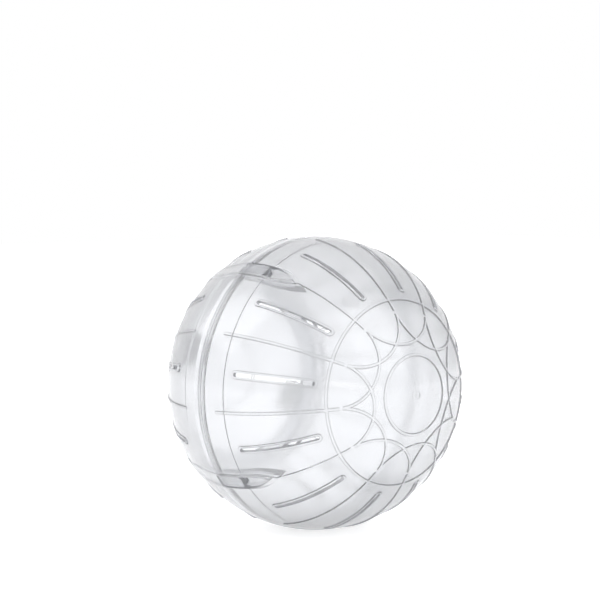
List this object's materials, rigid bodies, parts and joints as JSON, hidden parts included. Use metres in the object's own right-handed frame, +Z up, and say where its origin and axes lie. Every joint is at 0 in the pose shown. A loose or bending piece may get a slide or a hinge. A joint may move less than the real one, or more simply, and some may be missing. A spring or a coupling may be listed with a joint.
{
  "type": "hamster ball",
  "caption": "Clear ribbed exercise ball for a hamster: vented half shells held together by snap tongues, with a round lift-off lid at the rear.",
  "frame": {"origin": "centre of the ball", "axes": "+X along the pole line towards the front half, the lid is at -X, +Z up"},
  "size_m": [0.14, 0.14, 0.14],
  "materials": {
    "front_clear": "clear, polished",
    "rear_clear": "clear, polished",
    "tongue_clear": "clear, polished",
    "lid_clear": "clear, polished"
  },
  "bodies": {
    "front_half": {"front_shell": "front_clear"},
    "rear_half": {"rear_shell": "rear_clear"},
    "tongue_1": {"snap_tongue_1": "tongue_clear"},
    "tongue_2": {"snap_tongue_2": "tongue_clear"},
    "tongue_3": {"snap_tongue_3": "tongue_clear"},
    "tongue_4": {"snap_tongue_4": "tongue_clear"},
    "lid": {"lid": "lid_clear"},
    "catch_1": {"lid_catch_1": "lid_clear"},
    "catch_2": {"lid_catch_2": "lid_clear"}
  },
  "joints": [
    {"name": "halves_part", "type": "slide", "parent": "front_half", "child": "rear_half", "axis": [-1, 0, 0], "range_m": [0, 0.1]},
    {"name": "tongue_1_flex", "type": "hinge", "parent": "rear_half", "child": "tongue_1", "pos_m": [-0.0027, 0.04154, -0.05634], "axis": [0, 0.8049, 0.5934], "range_deg": [0, 5], "stiffness_Nm_per_rad": 0.01},
    {"name": "tongue_2_flex", "type": "hinge", "parent": "rear_half", "child": "tongue_2", "pos_m": [-0.0027, 0.05634, 0.04154], "axis": [0, -0.5934, 0.8049], "range_deg": [0, 5], "stiffness_Nm_per_rad": 0.01},
    {"name": "tongue_3_flex", "type": "hinge", "parent": "rear_half", "child": "tongue_3", "pos_m": [-0.0027, -0.04154, 0.05634], "axis": [0, -0.8049, -0.5934], "range_deg": [0, 5], "stiffness_Nm_per_rad": 0.01},
    {"name": "tongue_4_flex", "type": "hinge", "parent": "rear_half", "child": "tongue_4", "pos_m": [-0.0027, -0.05634, -0.04154], "axis": [0, 0.5934, -0.8049], "range_deg": [0, 5], "stiffness_Nm_per_rad": 0.01},
    {"name": "lid_lift", "type": "slide", "parent": "rear_half", "child": "lid", "axis": [-1, 0, 0], "range_m": [0, 0.04]},
    {"name": "catch_1_squeeze", "type": "hinge", "parent": "lid", "child": "catch_1", "pos_m": [-0.05826, 0.03033, -0.01325], "axis": [0, -0.4003, -0.9164], "range_deg": [0, 12], "stiffness_Nm_per_rad": 0.005},
    {"name": "catch_2_squeeze", "type": "hinge", "parent": "lid", "child": "catch_2", "pos_m": [-0.05826, -0.03033, 0.01325], "axis": [0, 0.4003, 0.9164], "range_deg": [0, 12], "stiffness_Nm_per_rad": 0.005}
  ],
  "couplings": [
    {"joint": "tongue_2_flex", "follows": "tongue_1_flex", "ratio": 1},
    {"joint": "tongue_3_flex", "follows": "tongue_1_flex", "ratio": 1},
    {"joint": "tongue_4_flex", "follows": "tongue_1_flex", "ratio": 1},
    {"joint": "catch_2_squeeze", "follows": "catch_1_squeeze", "ratio": 1}
  ]
}
